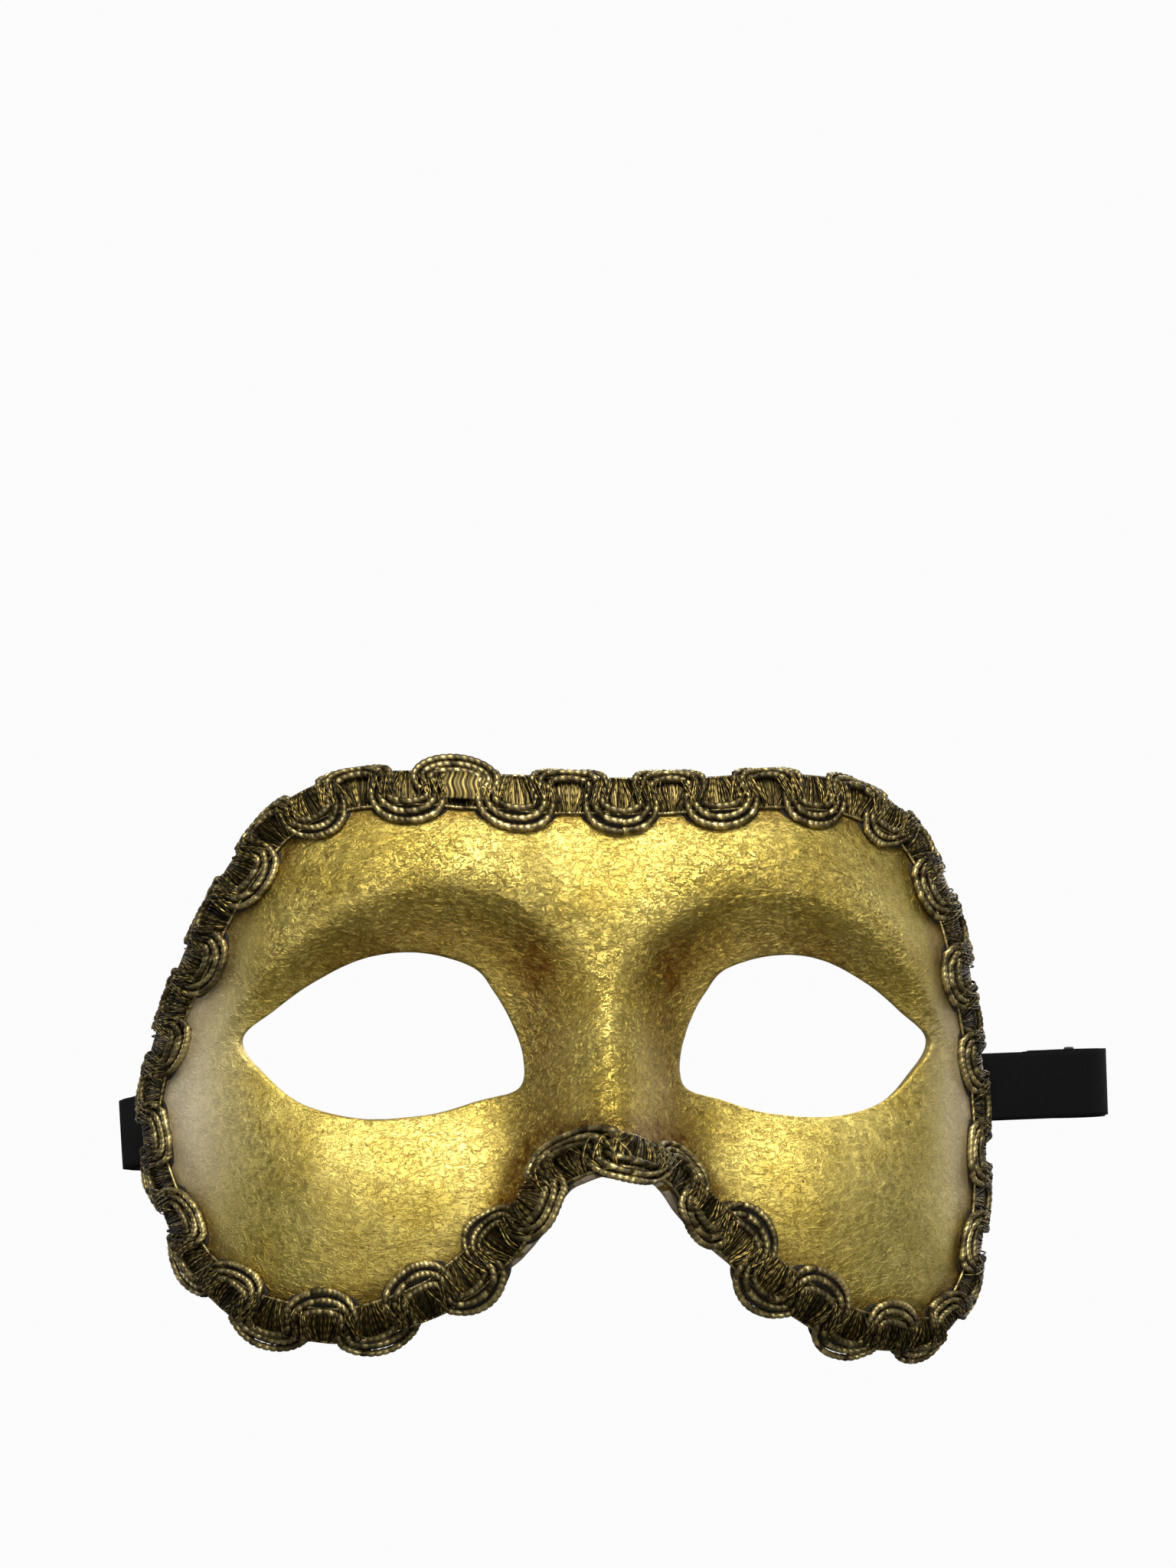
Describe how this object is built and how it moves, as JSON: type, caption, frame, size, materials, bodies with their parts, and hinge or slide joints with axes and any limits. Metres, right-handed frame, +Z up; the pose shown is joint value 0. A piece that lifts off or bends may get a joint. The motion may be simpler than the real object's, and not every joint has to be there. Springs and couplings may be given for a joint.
{
  "type": "venetian half mask",
  "caption": "Gilded papier-mache half mask with a scrolled metallic gimp braid glued round its edge and a black ribbon tie at each temple.",
  "frame": {"origin": "where the inside of the nose bridge rests on the wearer's nose", "axes": "+Z up when worn, -Y the way the mask faces, +X to the right of someone looking at the mask"},
  "size_m": [0.1923, 0.0857, 0.1085],
  "materials": {
    "papier_mache": "matte",
    "gold_leaf": "satin",
    "bronze_thread": "satin",
    "foil_cord": "satin",
    "ribbon": "matte",
    "black_thread": "matte"
  },
  "bodies": {
    "mask": {"paper_shell": "papier_mache", "gilded_gesso": "gold_leaf", "braid_band": "bronze_thread", "braid_cord_outer": "foil_cord", "braid_cord_middle": "foil_cord", "braid_cord_inner": "foil_cord", "braid_end_fold": "bronze_thread", "tie_left_root": "ribbon", "tie_right_root": "ribbon", "tie_left_patch": "papier_mache", "tie_right_patch": "papier_mache"},
    "tie_left": {"tie_left_ribbon": "ribbon", "tie_left_roll": "ribbon", "tie_left_thread": "black_thread"},
    "tie_right": {"tie_right_ribbon": "ribbon", "tie_right_roll": "ribbon", "tie_right_thread": "black_thread"}
  },
  "joints": [
    {"name": "tie_left_swing", "type": "hinge", "parent": "mask", "child": "tie_left", "pos_m": [-0.07944, 0.0424, -0.02014], "axis": [0, 0, -1], "range_deg": [-55, 20]},
    {"name": "tie_right_swing", "type": "hinge", "parent": "mask", "child": "tie_right", "pos_m": [0.07506, 0.03389, -0.01314], "axis": [0, 0, 1], "range_deg": [0, 80]}
  ]
}
